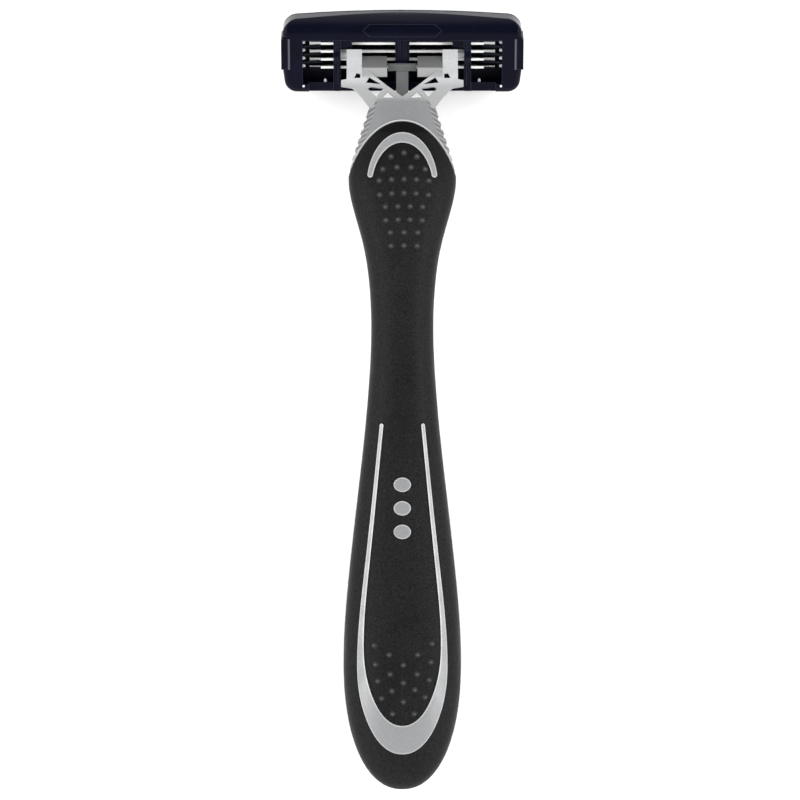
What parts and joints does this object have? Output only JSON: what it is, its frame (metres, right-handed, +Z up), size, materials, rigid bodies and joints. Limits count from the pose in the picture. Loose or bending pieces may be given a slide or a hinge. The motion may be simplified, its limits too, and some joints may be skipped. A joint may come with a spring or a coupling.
{
  "type": "cartridge razor",
  "caption": "Shaving razor with a rubber-clad silver handle and a pivoting cartridge of sprung blades, lying blades down.",
  "frame": {"origin": "below the middle of the razor, on the surface that it lies on, blades down", "axes": "+X across the cartridge, +Y from the butt to the head, +Z up, out of the back of the razor"},
  "size_m": [0.0424, 0.1366, 0.0159],
  "materials": {
    "silver_plastic": "satin silver paint on ABS",
    "core_plastic": "matte moulded ABS",
    "rubber": "soft matte overmoulded elastomer",
    "navy_plastic": "glossy dark navy",
    "cover_plastic": "glossy dark navy",
    "clip_plastic": "glossy dark navy",
    "strip_gel": "waxy water-soluble strip",
    "guard_rubber": "matte elastomer fins",
    "steel": "ground and polished",
    "support_steel": "rolled strip"
  },
  "bodies": {
    "handle": {"handle_core": "core_plastic", "neck_collar": "silver_plastic", "rubber_grip": "rubber", "upper_trim": "silver_plastic", "lower_trim": "silver_plastic", "emblem_inlay": "silver_plastic", "head_yoke": "silver_plastic"},
    "tongue": {"return_tongue": "silver_plastic"},
    "cartridge": {"cartridge_frame": "navy_plastic", "face_cover": "cover_plastic", "lubricating_strip": "strip_gel", "guard_strip": "guard_rubber", "end_clip_left": "clip_plastic", "end_clip_right": "clip_plastic", "spring_fingers_1": "navy_plastic", "spring_fingers_2": "navy_plastic", "spring_fingers_3": "navy_plastic", "spring_fingers_4": "navy_plastic"},
    "blade_unit_1": {"blade_1": "steel", "blade_support_1": "support_steel"},
    "blade_unit_2": {"blade_2": "steel", "blade_support_2": "support_steel"},
    "blade_unit_3": {"blade_3": "steel", "blade_support_3": "support_steel"},
    "blade_unit_4": {"blade_4": "steel", "blade_support_4": "support_steel"}
  },
  "joints": [
    {"name": "head_pivot", "type": "hinge", "parent": "handle", "child": "cartridge", "pos_m": [0, 0.0605, 0.00592], "axis": [-1, 0, 0], "range_deg": [0, 35], "stiffness_Nm_per_rad": 0.001, "springref_deg": -2.86},
    {"name": "tongue_flex", "type": "hinge", "parent": "handle", "child": "tongue", "pos_m": [0, 0.051, 0.00895], "axis": [1, 0, 0], "range_deg": [0, 11]},
    {"name": "blade_1_float", "type": "slide", "parent": "cartridge", "child": "blade_unit_1", "axis": [0, -0.3746, 0.9272], "range_m": [0, 0.00035], "stiffness_N_per_m": 500, "springref_m": -0.00005, "deforming": ["spring_fingers_1"]},
    {"name": "blade_2_float", "type": "slide", "parent": "cartridge", "child": "blade_unit_2", "axis": [0, -0.3746, 0.9272], "range_m": [0, 0.00035], "stiffness_N_per_m": 500, "springref_m": -0.00005, "deforming": ["spring_fingers_2"]},
    {"name": "blade_3_float", "type": "slide", "parent": "cartridge", "child": "blade_unit_3", "axis": [0, -0.3746, 0.9272], "range_m": [0, 0.00035], "stiffness_N_per_m": 500, "springref_m": -0.00005, "deforming": ["spring_fingers_3"]},
    {"name": "blade_4_float", "type": "slide", "parent": "cartridge", "child": "blade_unit_4", "axis": [0, -0.3746, 0.9272], "range_m": [0, 0.00035], "stiffness_N_per_m": 500, "springref_m": -0.00005, "deforming": ["spring_fingers_4"]}
  ],
  "couplings": [
    {"joint": "tongue_flex", "follows": "head_pivot", "ratio": 0.31}
  ]
}
